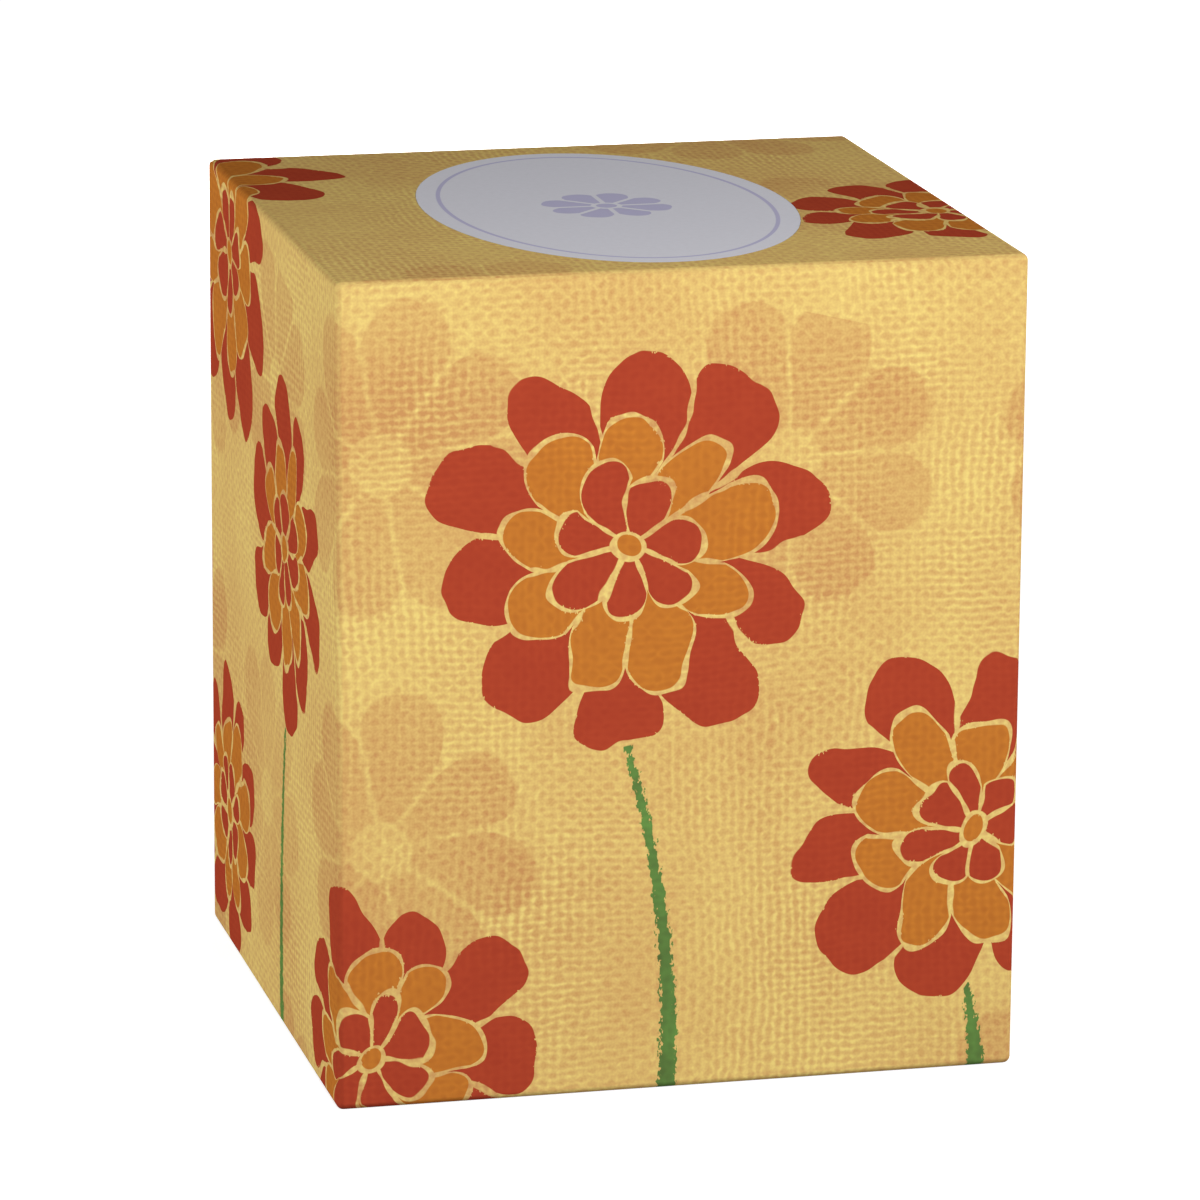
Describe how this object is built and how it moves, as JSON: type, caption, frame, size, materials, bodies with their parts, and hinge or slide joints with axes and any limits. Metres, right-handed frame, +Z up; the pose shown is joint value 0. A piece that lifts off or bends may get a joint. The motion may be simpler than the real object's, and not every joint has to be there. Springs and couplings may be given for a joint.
{
  "type": "tissue box",
  "caption": "Sealed upright carton of facial tissues with rounded folds, lapped glue joints and a perforated tear-out oval in its top.",
  "frame": {"origin": "middle of the base, on the surface that the carton stands on", "axes": "+Z up, -Y out of the front wall, -X out of the left wall"},
  "size_m": [0.11, 0.106, 0.132],
  "materials": {
    "printed_board": "printed paperboard with a canvas pattern, satin"
  },
  "bodies": {
    "root": {"sealed_carton": "printed_board"}
  },
  "joints": []
}
